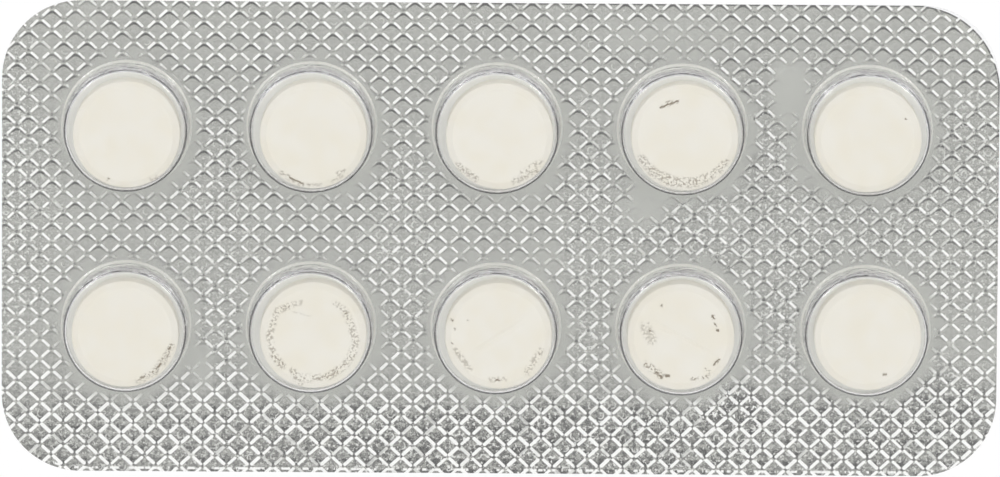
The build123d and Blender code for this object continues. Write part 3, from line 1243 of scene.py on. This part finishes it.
def makeStage():
    half = stageSetup["floorHalf"]
    mesh = bpy.data.meshes.new("floor")
    corners = [(-half, -half, 0), (half, -half, 0), (half, half, 0), (-half, half, 0)]
    mesh.from_pydata(corners, [], [(0, 1, 2, 3)])
    floor = bpy.data.objects.new("floor", mesh)
    bpy.context.scene.collection.objects.link(floor)
    floor.location.z = -stageSetup["floorDrop"]
    material, tree = newMaterial("pale floor")
    matt = nodeOutput(tree, "ShaderNodeBsdfPrincipled", {
        "Base Color": stageSetup["floorColour"],
        "Roughness": stageSetup["floorRoughness"],
    })
    glow = nodeOutput(tree, "ShaderNodeEmission", {})
    light = addNode(tree, "ShaderNodeLightPath")
    seen = greatest(tree, *(light.outputs[f"Is {kind} Ray"] for kind in ("Camera", "Glossy", "Transmission")))
    showSurface(tree, mixShader(tree, times(tree, seen, stageSetup["ownWhite"]), matt, glow))
    mesh.materials.append(material)


def makeWorld():
    world = bpy.data.worlds.new("studio")
    world.use_nodes = True
    tree = world.node_tree
    tree.nodes.clear()
    east, north, up = splitVector(tree, addNode(tree, "ShaderNodeTexCoord").outputs["Generated"])
    walls = ramp(tree, up, *stageSetup["wallsFrom"], stageSetup["horizon"], stageSetup["tent"])
    walls = times(tree, walls, ramp(tree, north, *stageSetup["nearFrom"], 1.0, 1.0 + stageSetup["nearTent"]))
    top = ramp(tree, up, *stageSetup["zenithFrom"])
    level = plus(tree, times(tree, walls, minus(tree, 1.0, top)), times(tree, top, stageSetup["zenith"]))
    seen = addNode(tree, "ShaderNodeLightPath").outputs["Is Camera Ray"]
    level = nodeOutput(tree, "ShaderNodeMix", {0: seen, 2: level, 3: 1.0}, data_type="FLOAT")
    back = nodeOutput(tree, "ShaderNodeBackground", {"Strength": level})
    feedAll(tree, addNode(tree, "ShaderNodeOutputWorld"), {"Surface": back})
    bpy.context.scene.world = world


def makeLamps():
    elevation = math.radians(lampSetup["elevation"])
    for number, azimuth in enumerate(lampSetup["azimuths"]):
        turn = math.radians(azimuth)
        level = math.cos(elevation)
        away = Vector((math.sin(turn) * level, math.cos(turn) * level, math.sin(elevation)))
        for part, size, radiance in zip(("softbox", "lamp"), lampSetup["sizes"], lampSetup["radiances"]):
            data = bpy.data.lights.new(f"{part} {number + 1}", "AREA")
            data.size = size
            data.energy = radiance * math.pi * size * size
            lamp = bpy.data.objects.new(data.name, data)
            lamp.location = away * (lampSetup["distance"] - (lampSetup["lampAhead"] if part == "lamp" else 0))
            lamp.rotation_euler = away.to_track_quat("Z", "Y").to_euler()
            bpy.context.scene.collection.objects.link(lamp)


def makeCamera():
    data = bpy.data.cameras.new("camera")
    data.sensor_width = cameraSetup["sensor"]
    data.lens = cameraSetup["sensor"] * cameraSetup["distance"] / (cameraSetup["frameWidth"] * mm)
    data.clip_end = 20
    camera = bpy.data.objects.new("camera", data)
    tilt = math.radians(cameraSetup["tilt"])
    turn = Matrix.Rotation(-tilt, 4, "X") @ Matrix.Rotation(math.radians(cameraSetup["roll"]), 4, "Z")
    back = Vector((0, math.sin(tilt), math.cos(tilt))) * cameraSetup["distance"]
    camera.matrix_world = Matrix.Translation(back) @ turn
    bpy.context.scene.collection.objects.link(camera)
    bpy.context.scene.camera = camera


makeStage()
makeWorld()
makeLamps()
makeCamera()
bpy.context.scene.view_settings.view_transform = "Standard"
print("stage ready")

knurlPress = knurlTree()
knurlMarks = marksGroup()
foil = makeFoil()
applyTree(foil, knurlPress, knurlValues(foilMaterial(knurlMarks)))
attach(foil, "root")
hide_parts("lidding_foil")
print("foil pressed:", len(foil.data.polygons), "faces")

clearFilm = makeFilm()
applyTree(clearFilm, knurlPress, knurlValues(filmMaterial()))
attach(clearFilm, "root")
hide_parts("blister_film")
print("film formed:", len(clearFilm.data.polygons), "faces")

powder = tabletMaterial()
for name in sorted(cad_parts):
    if name.startswith("tablet"):
        piece = makeTablet(name, powder)
        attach(piece, "root")
        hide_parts(name)
print("tablets made")
